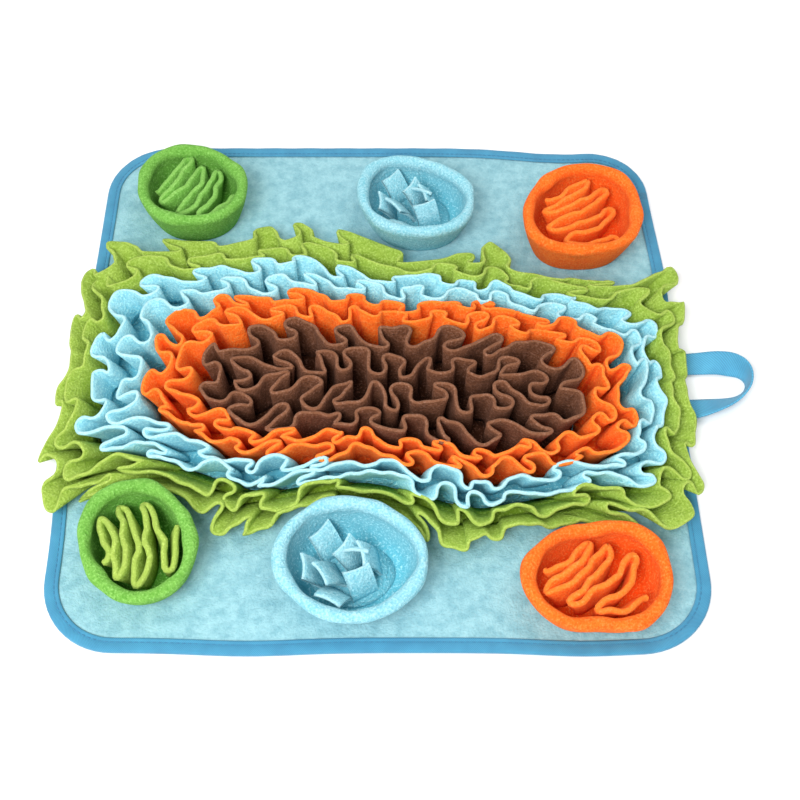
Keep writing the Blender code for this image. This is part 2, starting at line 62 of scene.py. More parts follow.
# Insets of the sheet's outer rings, and shares of the last one for the rings inside it
SHEET_INSETS = (6.0, 12.0, 16.0, 24.0, 36.0)
SHEET_SHARES = (0.92, 0.04, 24)
SHEET_WAVE = 0.14
BINDING_WIDTH = 11.0
BINDING_WALL = 1.0
BINDING_TOP = MAT_THICK + GAP + BINDING_WALL
TAPE_SECTION = (
    # (inset, height), from the inner edge below, round the outside and back within the fold
    (BINDING_WIDTH, 0.1),
    (1.6, 0.0),
    (0.5, 0.35),
    (0.0, 1.4),
    (0.0, 3.2),
    (0.5, 4.2),
    (1.6, BINDING_TOP + 0.25),
    (4.0, BINDING_TOP + 0.3),
    (6.2, BINDING_TOP + 0.2),
    (7.2, BINDING_TOP - 0.25),
    (8.0, BINDING_TOP - 0.25),
    (9.0, BINDING_TOP + 0.1),
    (10.4, BINDING_TOP + 0.05),
    (BINDING_WIDTH, BINDING_TOP - 0.4),
    (BINDING_WIDTH - 0.2, BINDING_TOP - 0.9),
    (2.0, BINDING_TOP - 1.0),
    (BINDING_WALL, 3.0),
    (BINDING_WALL, 1.3),
    (2.0, BINDING_WALL),
    (BINDING_WIDTH - 0.2, BINDING_WALL),
)
PUCKERED = (5, 6, 7, 8, 11, 12)
# Height and length of the tape's puckers
PUCKERS = ((0.12, 1.9), (0.10, 5.3))
STITCH_INSET = 7.6
STITCH_PITCH = 4.4
STITCH_SIZE = (3.0, 0.8, 0.5)
STITCH_SIDES = 6
STITCH_SINK = 0.1
# Share of a stitch's length, and how full it is there
STITCH_SWELLS = ((0.0, 0.35), (0.2, 0.9), (0.8, 0.9), (1.0, 0.35))
EDGE_BULGES = (
    # (centre x, centre y, outward bulge, spread) of the slow waves in the mat's edge
    (-250, -80, 6.0, 60),
    (-250, 40, 2.0, 40),
    (175, 250, -8.0, 60),
    (-95, -250, 2.5, 50),
    (150, -250, 2.5, 45),
    (250, 90, 3.5, 60),
)

# Ruffles
OUTLINE_STEPS = 721
BAND_STEPS = 2001
OVAL_MIDDLE = (-2.0, -20.0)
OVAL_TURN = math.radians(-3.5)
OVALS = (
    # (left, right, near, far reach of the edges, squareness, edge height, lean of the edge)
    (-92, 122, 22, -19, 2.3, 47, -2),
    (-143, 172, 77, 38, 3.0, 43, 9),
    (-185, 210, 105, 73, 3.4, 36, 11),
    (-235, 235, 132, 118, 3.9, 28, 14),
    (-263, 260, 160, 162, 5.0, 18, 22),
)
CLOTH = 2.8
HEM_THICK = 1.2
# Where a hem ends in its band, as a share of the band. The brown one closes the middle slit.
HEM_REACH = 0.05
SLIT_REACH = -0.17
ROOT_HEIGHT = 6.2
CLOTH_STEP = 1.7
CLOTH_BEND = 3.6
LEAF_THICK = 2.6
LEAF_CLEARANCE = -2.0
PLAIN_SWING = 3.3
LOOP_RUN = 0.7
ROOT_LOOP = 0.8
FOLD_LEAST_STRETCH = 0.5
FOLD_STEPS = 10
FOLD_SHIFT = 0.16
FOLD_SWAY = 0.2
FOLD_SHORTFALL = 0.25
FOLD_LIFT = 3.0
FULLNESS_RANGE = (0.8, 1.15)
LEAF_LEVELS = 7
# Powers of the share of the height: how late a leaf turns outwards, and how its levels lie
LEAF_TURN = 1.25
LEAF_RISE = 0.9
# How far a sheet's rounded edge stands out, as a share of half its thickness
EDGE_ROUND = 0.8
RIPPLES = ((17.0, 0.5), (37.0, 1.4))
RIPPLE_BEAT = 0.6
RIPPLE_BEATS = 7
RUFFLES = (
    # (colour, folds, share of the depth at the root, swing of full loops, unevenness, seed)
    ("brown", 18, 0.95, 5.6, 0.9, 6),
    ("orange", 26, 0.90, 5.6, 1.0, 14),
    ("blue", 28, 0.90, 4.8, 0.9, 83),
    ("green", 26, 0.95, 4.8, 0.9, 11),
)
FOOT_REACH = 237.0
EDGE_REACH = 263.0
SIDE_EASE = 12.0
DRIFT_ROOT = 0.2
DRIFTS = (
    # (direction that the cloth is moved in, in degrees, wavelength, distance, phase in degrees)
    (90, 58, 3.0, 20),
    (25, 66, 3.0, 130),
    (145, 52, 2.0, 250),
)

# Pockets
POCKET_FOOT = 0.80
POCKET_WALL = 5.0
POCKET_ROLL = 11.0
POCKET_STEPS = 110
POCKET_LUMPS = ((3, 1.0), (5, 1.1), (8, 0.8), (13, 0.5))
# Share of the way from the foot to the rim at each point of the section, which paints shade:
# darker at the outer foot and down the inside to the bottom
POCKET_SHARES = (0.1, 0.2, 0.3, 0.6, 0.65, 0.8, 1, 1, 1, 1, 0.9, 0.6, 0.45, 0.3, 0.1, 0.0)
POCKET_CLOTH_RADIUS = 50
POCKET_CLEARANCE = 3.5
POCKET_REACH = 75.0
POCKETS = (
    # (name, colour, centre x, y, rim radius to E, NE, N, NW, W, SW, S, SE, height, tilt)
    ("far_left", "leaf", -164, 176, (48, 44, 49, 55, 52, 52, 51, 52), 40, -3),
    ("far_middle", "pale", 36, 168, (51, 43, 45, 56, 55, 56, 55, 57), 38, -4),
    ("far_right", "orange", 178, 146, (55, 60, 54, 47, 50, 59, 55, 58), 42, -3),
    ("near_left", "leaf", -177, -174, (44, 43, 50, 52, 46, 44, 49, 49), 36, 3),
    ("near_middle", "pale", -20, -188, (59, 50, 48, 53, 58, 52, 50, 53), 38, 4),
    ("near_right", "orange", 160, -203, (56, 55, 43, 48, 56, 49, 40, 50), 36, 2),
)
# Direction of the runs of each folded filling, and its cloth
FILLINGS = {
    "far_left": (62, "leaf"),
    "far_right": (28, "orange"),
    "near_left": (100, "green"),
    "near_right": (48, "orange"),
}
FILLING_THICK = 4.6
FILLING_HEIGHT = 26.0
FILLING_RUNS = 7
FILLING_STEPS = 16
# Reach as a share of the rim's radius, and swing of the folds, at the strip's foot and its edge
FILLING_FOOT = (0.56, 2.1)
FILLING_EDGE = (0.72, 3.0)
FILLING_CLEARANCE = 0.5
FILLING_SQUASH = 0.4
FILLING_SPREAD = 0.88
FILLING_SHIFT = 0.15
FILLING_BOW = 0.22
FILLING_LEAN = -5.0
FILLING_HEAP = 5.0
FILLING_SHORTFALL = 0.25
FILLING_RISE = (-5.0, 2.0)
TAB_WIDTH = 21.0
TAB_THICK = 2.6
TAB_STATIONS = 9
TAB_LEVELS = 8
TAB_ROOT = 1.7
TAB_CUP = 1.6
TAB_BEND_RANGE = (8, 44)
TAB_BEND_MIDDLE = 0.4
TAB_TWIST = 10
# Share given to the tabs' roots and their backing, which paints them partly in the darker shade
# colour
TAB_ROOT_SHARE = 0.2
BACKING_REACH = 0.56
BACKING_THICK = 2.3
BACKING_FOOT = 0.5
BACKING_HOLE = 0.02
BACKING_STEPS = 48
TABS = (
    # (distance from the middle as a share of the rim's radius, direction, turn of the tab, lean
    # from upright, all angles in degrees, and the tab's length)
    (0.40, 20, 100, 28, 26),
    (0.42, 75, 170, 26, 27),
    (0.34, 135, 40, 38, 26),
    (0.36, 190, 95, 32, 26),
    (0.36, 245, 150, 36, 27),
    (0.42, 300, 30, 28, 26),
    (0.14, 30, 60, 28, 29),
    (0.14, 200, 120, 34, 28),
)

# Handle loop
STRAP_WIDTH = 20.0
STRAP_THICK = 1.5
STRAP_STEPS = 90
STRAP_POINTS = 9
# Shares of half the strap's width and thickness: its thinner middle and its rounded edge
STRAP_FLAT = 0.8
STRAP_THIN = 0.8
STRAP_EDGE = 1.02
STRAP_ROUTE = (
    # (x, y, height of the middle, turn of the width away from lying flat, in degrees)
    (251.5, 2.0, 2.2, 0),
    (268.0, 2.5, 3.0, 6),
    (287.0, 1.0, 6.5, 25),
    (301.0, -6.0, 10.2, 68),
    (306.5, -17.0, 11.2, 88),
    (302.0, -29.0, 10.6, 78),
    (288.0, -38.0, 9.0, 50),
    (268.0, -42.0, 5.5, 22),
    (251.5, -43.0, 2.6, 6),
)

FLEECES = {
    # name: cloth colour; darker colour, painted as shade deep in the folds and at roots and also
    # used for dark flecks and mottling; lighter cut-edge colour, partly the cut fleece's own tone
    # and partly a painted highlight; all in linear light. The aqua base only mottles between its
    # second and third colours.
    "aqua": ((0.25, 0.50, 0.56), (0.19, 0.41, 0.48), (0.32, 0.58, 0.64)),
    "brown": ((0.19, 0.072, 0.034), (0.070, 0.021, 0.008), (0.235, 0.100, 0.052)),
    "orange": ((1.0, 0.190, 0.018), (0.90, 0.085, 0.004), (1.0, 0.23, 0.028)),
    "blue": ((0.37, 0.72, 0.80), (0.15, 0.56, 0.70), (0.45, 0.76, 0.83)),
    "pale": ((0.34, 0.64, 0.72), (0.12, 0.50, 0.62), (0.42, 0.70, 0.77)),
    "green": ((0.33, 0.48, 0.075), (0.18, 0.31, 0.018), (0.39, 0.53, 0.095)),
    "leaf": ((0.20, 0.47, 0.080), (0.080, 0.29, 0.025), (0.25, 0.53, 0.11)),
}
WOVENS = {
    # name: colour in linear light, scale of the ribs
    "blue twill tape": ((0.048, 0.28, 0.475), 420),
    "blue webbing": ((0.072, 0.353, 0.577), 260),
    "blue sewing thread": ((0.042, 0.24, 0.43), 900),
}
FLEECE_ROUGHNESS = 0.95
FLEECE_SPECULAR = 0.15
FLEECE_SHEEN = 0.12
CUT_SHEEN = 0.16
BASE_SHEEN = 0.15
SHEEN_ROUGHNESS = 0.6
WOVEN_ROUGHNESS = 0.75
WOVEN_SHEEN = 0.15
WOVEN_SHADE = 0.6


# ---- shapes shared with the solids


def hermite(start, end, slope_in, slope_out, t):
    return (
        start * (2 * t**3 - 3 * t**2 + 1)
        + slope_in * (t**3 - 2 * t**2 + t)
        + end * (3 * t**2 - 2 * t**3)
        + slope_out * (t**3 - t**2)
    )


def around(values, turns):
    """A smooth closed curve through evenly spaced values, read at turns from 0 to 1."""
    values = np.asarray(values, float)
    place = np.mod(turns, 1.0) * len(values)
    first = np.floor(place).astype(int)
    t = place - first
    before, start, end, after = (values[(first + k) % len(values)] for k in (-1, 0, 1, 2))
    return hermite(start, end, (end - before) / 2, (after - start) / 2, t)


def flat_way(degrees):
    return np.array((math.cos(math.radians(degrees)), math.sin(math.radians(degrees)), 0.0))


def closed_path(path):
    return np.vstack((path, path[:1]))


def distances(path):
    """Distance along an open path at each of its points."""
    steps = np.linalg.norm(np.diff(path, axis=0), axis=1)
    return np.concatenate(([0.0], np.cumsum(steps)))


def mat_outline(inset):
    """The mat's edge as points (x, y), counterclockwise, moved inwards by inset."""
    middle = MAT_HALF - MAT_CORNER
    points = []
    normals = []
    for corner in range(4):
        start = corner * math.pi / 2
        centre = (
            middle * (1 if corner in (0, 3) else -1),
            middle * (1 if corner in (0, 1) else -1),
        )
        for step in range(CORNER_STEPS + 1):
            angle = start + step / CORNER_STEPS * math.pi / 2
            normal = (math.cos(angle), math.sin(angle))
            points.append([centre[k] + MAT_CORNER * normal[k] for k in (0, 1)])
            normals.append(normal)
        side = (-math.sin(angle), math.cos(angle))
        last = points[-1]
        for step in range(1, SIDE_STEPS):
            run = step / SIDE_STEPS * 2 * middle
            points.append([last[k] + run * side[k] for k in (0, 1)])
            normals.append(normal)
    points = np.array(points)
    normals = np.array(normals)
    bulge = np.zeros(len(points))
    for x, y, height, spread in EDGE_BULGES:
        distance = np.hypot(points[:, 0] - x, points[:, 1] - y)
        bulge += height * np.exp(-((distance / spread) ** 2))
    return points + normals * (bulge - np.asarray(inset))[:, None]


def oval_wall(number, turns, raised):
    """Points of the wall between two leaves: number 0 is the middle slit, 8 the outermost edge.
    raised is 0 at the foot of the wall and 1 at the cloth's edge. Odd walls lie half-way."""
    low = number // 2
    high = (number + 1) // 2
    left, right, near, far, square, height, lean = (
        (a + b) / 2 for a, b in zip(OVALS[low], OVALS[high])
    )
    inwards = (1 - raised) * lean
    centre = ((left + right) / 2, (far - near) / 2)
    half = ((right - left) / 2 - inwards, (far + near) / 2 - inwards)
    cosine = np.cos(2 * math.pi * turns)
    sine = np.sin(2 * math.pi * turns)
    power = 2 / square
    x = centre[0] + half[0] * np.sign(cosine) * np.abs(cosine) ** power
    y = centre[1] + half[1] * np.sign(sine) * np.abs(sine) ** power
    turn_cos, turn_sin = math.cos(OVAL_TURN), math.sin(OVAL_TURN)
    floor = MAT_THICK + GAP
    return np.stack(
        (
            OVAL_MIDDLE[0] + x * turn_cos - y * turn_sin,
            OVAL_MIDDLE[1] + x * turn_sin + y * turn_cos,
            np.full_like(x, floor + raised * (height - floor)),
        ),
        axis=-1,
    )


def drift(points, raised):
    """Slow sideways waves through all the ruffles together."""
    points = points.copy()
    share = DRIFT_ROOT + (1 - DRIFT_ROOT) * raised
    for degrees, wavelength, distance, phase in DRIFTS:
        along = flat_way(degrees)[:2]
        across = np.array((-along[1], along[0]))
        wave = np.sin(points[:, :2] @ across * 2 * math.pi / wavelength + math.radians(phase))
        points[:, :2] += share * distance * wave[:, None] * along
    return points


def keep_on_mat(points, raised):
    """Draws in the cloth that would reach past the mat's left and right edges."""
    points = points.copy()
    limit = FOOT_REACH + raised * (EDGE_REACH - FOOT_REACH)
    past = np.maximum(np.abs(points[:, 0]) - (limit - SIDE_EASE), 0)
    eased = limit - SIDE_EASE * np.exp(-past / SIDE_EASE)
    points[:, 0] = np.where(past > 0, np.sign(points[:, 0]) * eased, points[:, 0])
    return points


def from_pocket(points, x, y, radii):
    """Each point's offset and distance from a pocket's middle, and the wall's distance there."""
    offset = points[:, :2] - (x, y)
    distance = np.hypot(offset[:, 0], offset[:, 1])
    turns = np.arctan2(offset[:, 1], offset[:, 0]) / (2 * math.pi)
    return offset, distance, around(radii, turns) + POCKET_CLEARANCE


def pocket_pushes():
    """How far each pocket stands into the outermost oval."""
    turns = np.linspace(0, 1, OUTLINE_STEPS)
    pushes = []
    outline = keep_on_mat(drift(oval_wall(8, turns, 1.0), 1.0), 1.0)
    for _, _, x, y, radii, *_ in POCKETS:
        _, distance, wall = from_pocket(outline, x, y, radii)
        pushes.append(max(0.0, float((wall - distance).max())))
    return pushes


def push_from_pockets(points, pushes):
    """Moves cloth away from each pocket's wall, most at the wall and not at all further out."""
    points = points.copy()
    for (_, _, x, y, radii, *_), push in zip(POCKETS, pushes):
        offset, distance, wall = from_pocket(points, x, y, radii)
        outer = wall + POCKET_REACH
        pushed = wall + (distance - wall + push) * POCKET_REACH / (POCKET_REACH + push)
        moved = np.where(distance < outer, pushed, distance)
        points[:, :2] = (x, y) + offset * (moved / distance)[:, None]
    return points


class Band:
    """The room of one leaf between two oval walls, measured along its middle in millimetres."""

    def __init__(self, number):
        self.walls = (number, number + 1)
        self.pushes = pocket_pushes()
        self.turns = np.linspace(0, 1, BAND_STEPS)
        inner, outer = (oval_wall(wall, self.turns, 1.0) for wall in self.walls)
        middle = (inner + outer) / 2
        self.along = distances(middle)
        self.length = self.along[-1]
        inner_steps, steps = (
            np.linalg.norm(np.diff(line, axis=0), axis=1) for line in (inner, middle)
        )
        self.squeeze = inner_steps / steps

    def least_depth(self, along):
        """How near the inner wall a fold may come where that wall turns too tightly for it."""
        middles = (self.along[:-1] + self.along[1:]) / 2
        squeeze = np.interp(np.mod(along, self.length), middles, self.squeeze)
        spread = np.maximum(2 - 2 * squeeze, 1e-6)
        return np.clip((FOLD_LEAST_STRETCH - squeeze) / spread, 0, 0.5)

    def place(self, along, depth, raised, extra_height=0.0):
        """Points at a depth from 0, inner wall, to 1, outer wall, clear of both walls."""
        turns = np.interp(np.mod(along, self.length), self.along, self.turns)
        inner, outer = (oval_wall(wall, turns, raised) for wall in self.walls)
        width = np.linalg.norm((outer - inner)[:, :2], axis=1)
        margin = (LEAF_THICK / 2 + LEAF_CLEARANCE) / width
        points = inner + (outer - inner) * (margin + (1 - 2 * margin) * depth)[:, None]
        points[:, 2] += extra_height
        return push_from_pockets(keep_on_mat(drift(points, raised), raised), self.pushes)


def fold_path(places, depths, swings, steps):
    """A closed back-and-forth line through alternate fold tips, as distances along and depths."""
    along = []
    depth = []
    for k in range(len(places) - 1):
        for t in steps:
            along.append(hermite(places[k], places[k + 1], swings[k], swings[k + 1], t))
            depth.append(hermite(depths[k], depths[k + 1], 0.0, 0.0, t))
    return np.array(along), np.array(depth)


def nearest_tip(places):
    """How far each fold tip is from the nearer of its two neighbours, round a closed line."""
    ahead = np.diff(places)
    nearer = np.minimum(ahead, np.roll(ahead, 1))
    return np.append(nearer, nearer[0])


def leaf_paths(band, hem_depths, folds, root_share, fullness, unevenness, chance):
    """Lines of one gathered leaf, in step with each other: even ones flat on the mat at the hem
    depths, then the folded ones of its root and its edge."""
    tips = 2 * folds
    pitch = band.length / tips
    shift = [chance.uniform(-FOLD_SHIFT, FOLD_SHIFT) * unevenness for _ in range(tips)]
    sway = [chance.uniform(-FOLD_SWAY, FOLD_SWAY) * unevenness for _ in range(tips)]
    reach = [chance.uniform(0.0, FOLD_SHORTFALL) * unevenness for _ in range(tips)]
    full = [fullness * chance.uniform(*FULLNESS_RANGE) for _ in range(tips)]
    lift = [chance.uniform(-FOLD_LIFT, FOLD_LIFT) * unevenness for _ in range(tips)]
    for values in (shift, sway, reach, full, lift):
        values.append(values[0])
    whole = range(tips + 1)
    root_places = [(k + shift[k] + sway[k] / 2) * pitch for k in whole]
    edge_places = [(k + shift[k] + sway[k]) * pitch for k in whole]
    least = band.least_depth(np.array(edge_places))
    inner_tip = [k % 2 == 0 for k in whole]
    edge_depths = [max(reach[k], least[k]) if inner_tip[k] else 1 - reach[k] for k in whole]
    root_depths = [0.5 + root_share * (depth - 0.5) for depth in edge_depths]
    ends = [band.place(np.array(edge_places), np.full(tips + 1, end), 1.0) for end in (0.0, 1.0)]
    runs = np.linalg.norm(ends[1] - ends[0], axis=1)[:-1] * np.abs(np.diff(edge_depths))
    shorter_run = np.minimum(runs, np.roll(runs, 1))
    loops = np.clip(np.append(shorter_run, shorter_run[0]) / (LOOP_RUN * pitch), 0, 1) ** 2
    swings = nearest_tip(edge_places) * (PLAIN_SWING + (np.array(full) - PLAIN_SWING) * loops)
    root_fullness = PLAIN_SWING + ROOT_LOOP * (np.array(full) - PLAIN_SWING) * loops
    root_swings = nearest_tip(root_places) * root_fullness
    steps = np.arange(FOLD_STEPS) / FOLD_STEPS
    root_along, root_depth = fold_path(root_places, root_depths, root_swings, steps)
    root = band.place(root_along, root_depth, 0.0)
    even = np.linspace(root_along[0], root_along[0] + band.length, len(root_along) + 1)[:-1]
    hems = [band.place(even, np.full(len(even), depth), 0.0) for depth in hem_depths]
    lifts = [hermite(lift[k], lift[k + 1], 0, 0, t) for k in range(tips) for t in steps]
    edge = band.place(*fold_path(edge_places, edge_depths, swings, steps), 1.0, np.array(lifts))
    return *hems, root, edge


# ---- cloth meshes


def add_object(name, data):
    obj = bpy.data.objects.new(name, data)
    bpy.context.scene.collection.objects.link(obj)
    return obj


def mesh_object(name, points, faces, materials, slots=None, uvs=None):
    """An object from points in millimetres. slots gives each face's material, and uvs each
    point's place on the cloth: metres along it, and its share from the root to the cut edge."""
    mesh = bpy.data.meshes.new(name)
    places = np.reshape(points, (-1, 3)) * MM
    mesh.from_pydata([tuple(place) for place in places], [], faces)
    for material in materials:
        mesh.materials.append(material)
    if slots is not None:
        mesh.polygons.foreach_set("material_index", slots)
    if uvs is not None:
        layer = mesh.uv_layers.new(name="cloth")
        corners = np.empty(len(mesh.loops), int)
        mesh.loops.foreach_get("vertex_index", corners)
        layer.data.foreach_set("uv", np.asarray(uvs)[corners].ravel())
    mesh.shade_smooth()
    mesh.update()
    return add_object(name, mesh)


def skin(count, rows, closed=(True, True), flipped=False):
    """Faces over a grid of points, station by station. closed says whether the stations, and
    the rows of each, run on from the last to the first."""
    faces = []
    for station in range(count if closed[0] else count - 1):
        here, there = station * rows, (station + 1) % count * rows
        for row in range(rows if closed[1] else rows - 1):
            up = (row + 1) % rows
            a, b, c, d = here + row, there + row, there + up, here + up
            faces.append((a, d, c, b) if flipped else (a, b, c, d))
    return faces


def cloth_uvs(along, across):
    """Places on the cloth for every station and row, as (along, across) pairs."""
    return np.stack(np.broadcast_arrays(along[:, None], across[None, :]), axis=-1).reshape(-1, 2)


def grid_normals(grid, closed):
    if closed:
        along = np.roll(grid, -1, axis=0) - np.roll(grid, 1, axis=0)
    else:
        along = np.gradient(grid, axis=0)
    up = np.gradient(grid, axis=1)
    normals = np.cross(along, up)
    return normals / np.maximum(np.linalg.norm(normals, axis=2), TINY)[:, :, None]


def thick_sheet(name, grid, thick, materials, shares, closed=True):
    """A closed solid round a grid of stations by levels. Its two long edges are rounded, and get
    the second material, whose lighter colour is partly a painted highlight. thick may differ by
    level, and shares holds each level's share from 0 at the root to 1 at a cut edge, which sets
    the fleece's painted shade towards the root."""
    normals = grid_normals(grid, closed)
    half = np.broadcast_to(np.asarray(thick) / 2, grid.shape[1:2])[None, :, None]
    count, levels = grid.shape[:2]
    edges = []
    for edge, inside in ((0, 1), (-1, -2)):
        out = grid[:, edge] - grid[:, inside]
        out /= np.maximum(np.linalg.norm(out, axis=1), TINY)[:, None]
        edges.append((grid[:, edge] + out * half[:, edge] * EDGE_ROUND)[:, None])
    first, last = edges
    front = grid + normals * half
    back = (grid - normals * half)[:, ::-1]
    points = np.concatenate((front, last, back, first), axis=1)
    rows = points.shape[1]
    share = np.concatenate((shares, [shares[-1]], shares[::-1], [shares[0]]))
    uvs = cloth_uvs(distances(grid[:, levels // 2]) * MM, share)
    cut_rows = {levels - 1, levels, rows - 2, rows - 1}
    faces = skin(count, rows, (closed, True))
    slots = [int(number % rows in cut_rows) for number in range(len(faces))]
    if not closed:
        end = (count - 1) * rows
        faces.append(tuple(reversed(range(rows))))
        faces.append(tuple(end + row for row in range(rows)))
        slots += [1, 1]
    return mesh_object(name, points, faces, materials, slots, uvs)


def in_even_steps(edges, paths, step):
    """Closed paths that are in step with each other, read again at even distances along edges."""
    places = np.arange(len(edges[0]) + 1)
    length = sum(distances(closed_path(edge)) for edge in edges) / len(edges)
    number = round(length[-1] / step)
    where = np.interp(np.arange(number) / number * length[-1], length, places)
    return [
        np.column_stack([np.interp(where, places, line) for line in closed_path(path).T])
        for path in paths
    ]


def rounded(path, bend):
    """A closed path in even steps, with its sharp turns eased to about the bend given."""
    for _ in range(round(2 * (bend / CLOTH_STEP) ** 2)):
        path = (np.roll(path, 1, axis=0) + 2 * path + np.roll(path, -1, axis=0)) / 4
    return path


def leaf_levels(root, edge, chance, closed=True):
    """A leaf's lines from root to edge: upright at its foot, turning outwards to its edge, with
    small ripples that grow towards the edge."""
    levels = np.linspace(0, 1, LEAF_LEVELS)
    grid = np.empty((len(root), LEAF_LEVELS, 3))
    for k, level in enumerate(levels):
        grid[:, k] = root + (edge - root) * level**LEAF_TURN
        grid[:, k, 2] = root[:, 2] + (edge[:, 2] - root[:, 2]) * level**LEAF_RISE
    normals = grid_normals(grid, closed)
    steps = np.linalg.norm(np.roll(edge, -1, axis=0) - edge, axis=1)
    along = np.concatenate(([0.0], np.cumsum(steps)[:-1]))
    total = steps.sum()
    ripple = np.zeros(len(root))
    for wavelength, size in RIPPLES:
        turns = round(total / wavelength)
        phase = chance.uniform(0, 2 * math.pi)
        beats = 2 * math.pi * along / total * RIPPLE_BEATS
        beat = 1 + RIPPLE_BEAT * np.sin(beats + phase)
        ripple += size * beat * np.sin(2 * math.pi * turns * along / total + phase)
    return grid + normals * (ripple[:, None] * levels[None, :] ** 2)[:, :, None]


def make_ruffle(number, colour, folds, root_share, fullness, unevenness, seed):
    """One strip: down its inner leaf, flat over the mat and its seam, and up its outer leaf."""
    chance = random.Random(seed)
    shape = (folds, root_share, fullness, unevenness)
    inner_reach = HEM_REACH if number else SLIT_REACH
    inner = leaf_paths(Band(2 * number), (inner_reach, 1.0), *shape, chance)
    outer = leaf_paths(Band(2 * number + 1), (1 - HEM_REACH, 0.0), *shape, chance)
    paths = in_even_steps((inner[-1], outer[-1]), (*inner, *outer), CLOTH_STEP)
    paths = [rounded(path, CLOTH_BEND) for path in paths]
    inner_hem, inner_seam, inner_root, inner_edge = paths[:4]
    outer_hem, outer_seam, outer_root, outer_edge = paths[4:]
    inner_leaf = leaf_levels(inner_root, inner_edge, chance)[:, ::-1]
    outer_leaf = leaf_levels(outer_root, outer_edge, chance)
    floor = np.stack((inner_hem, (inner_seam + outer_seam) / 2, outer_hem), axis=1)
    floor[:, :, 2] = MAT_THICK + GAP + HEM_THICK / 2
    inner_leaf[:, -1, 2] = ROOT_HEIGHT
    outer_leaf[:, 0, 2] = ROOT_HEIGHT
    grid = np.concatenate((inner_leaf, floor, outer_leaf), axis=1)
    rising = np.linspace(0, 1, LEAF_LEVELS)
    # Painted shade: leaves darken towards their roots, and the flat strip on the mat takes the
    # darker colour in full
    shares = np.concatenate((rising[::-1], np.zeros(3), rising))
    thick = np.full(len(shares), CLOTH)
    thick[LEAF_LEVELS : LEAF_LEVELS + 3] = HEM_THICK
    obj = thick_sheet(f"{colour}_ruffle", grid, thick, fleece(colour), shares)
    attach(obj, "root")
    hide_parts(f"ruffle_{colour}")


# ---- materials


def set_inputs(node, values):
    for label, value in values.items():
        node.inputs[label].default_value = value


def new_group(name, inputs):
    """A node group that puts out a colour and a normal, and its sockets: given and made."""
    group = bpy.data.node_groups.new(name, "ShaderNodeTree")
    for label, kind in inputs.items():
        group.interface.new_socket(label, in_out="INPUT", socket_type=f"NodeSocket{kind}")
    for label, kind in (("Colour", "NodeSocketColor"), ("Normal", "NodeSocketVector")):
        group.interface.new_socket(label, in_out="OUTPUT", socket_type=kind)
    given = group.nodes.new("NodeGroupInput").outputs
    made = group.nodes.new("NodeGroupOutput").inputs
    return group, given, made


def noise(tree, vector, scale, detail, roughness=0.5):
    node = tree.nodes.new("ShaderNodeTexNoise")
    set_inputs(node, {"Scale": scale, "Detail": detail, "Roughness": roughness})
    tree.links.new(vector, node.inputs["Vector"])
    return node.outputs["Fac"]


def mapped(tree, value, reach, result):
    """A value moved from its own reach to the range of the result."""
    node = tree.nodes.new("ShaderNodeMapRange")
    tree.links.new(value, node.inputs["Value"])
    set_inputs(node, {"From Min": reach[0], "From Max": reach[1]})
    set_inputs(node, {"To Min": result[0], "To Max": result[1]})
    return node.outputs["Result"]


def mixed(tree, share, first, second, blend="MIX"):
    node = tree.nodes.new("ShaderNodeMix")
    node.data_type = "RGBA"
    node.blend_type = blend
    tree.links.new(share, node.inputs[0])
    for value, socket in ((first, node.inputs[6]), (second, node.inputs[7])):
        if isinstance(value, tuple):
            socket.default_value = (*value, 1.0)
        else:
            tree.links.new(value, socket)
    return node.outputs[2]


def bumped(tree, height, strength, distance, normal=None):
    node = tree.nodes.new("ShaderNodeBump")
    set_inputs(node, {"Strength": strength, "Distance": distance})
    tree.links.new(height, node.inputs["Height"])
    if normal is not None:
        tree.links.new(normal, node.inputs["Normal"])
    return node.outputs["Normal"]


def nap_group():
    """Brushed fleece: painted shade that mixes the Deep colour in towards the root, deep in the
    folds, soft mottling where the nap lies differently, light and dark flecks of fibre, and a
    felted bump."""
    name = "fleece nap"
    if name in bpy.data.node_groups:
        return bpy.data.node_groups[name]
    inputs = {"Cloth": "Color", "Deep": "Color", "Light": "Color", "Share": "Float"}
    group, given, made = new_group(name, inputs)
    place = group.nodes.new("ShaderNodeTexCoord").outputs["Object"]
    brushed = noise(group, place, scale=90, detail=3.0, roughness=0.6)
    pills = noise(group, place, scale=560, detail=3.0, roughness=0.65)
    fibres = noise(group, place, scale=1700, detail=2.0, roughness=0.7)
    # Painted shade: a share near 0, at the root, takes the Deep colour and darkens the folds
    depth = mapped(group, given["Share"], (0.0, 0.7), (1.0, 0.0))
    painted_fold_shade = mixed(group, depth, given["Cloth"], given["Deep"])
    shade = mapped(group, brushed, (0.36, 0.68), (0.0, 0.4))
    mottled = mixed(group, shade, painted_fold_shade, given["Deep"])
    dark = mapped(group, pills, (0.48, 0.34), (0.0, 0.65))
    flecked = mixed(group, dark, mottled, given["Deep"])
    bright = mapped(group, pills, (0.52, 0.67), (0.0, 0.75))
    group.links.new(mixed(group, bright, flecked, given["Light"]), made["Colour"])
    coarse = bumped(group, pills, strength=1.0, distance=0.0018)
    fine = bumped(group, fibres, strength=0.4, distance=0.0004, normal=coarse)
    group.links.new(fine, made["Normal"])
    return group


def principled(name):
    material = bpy.data.materials.new(name)
    material.use_nodes = True
    return material, material.node_tree.nodes["Principled BSDF"], material.node_tree


def make_matt(shader, sheen):
    """Fleece's soft, dull surface."""
    set_inputs(shader, {"Roughness": FLEECE_ROUGHNESS, "Specular IOR Level": FLEECE_SPECULAR})
    set_inputs(shader, {"Sheen Weight": sheen, "Sheen Roughness": SHEEN_ROUGHNESS})


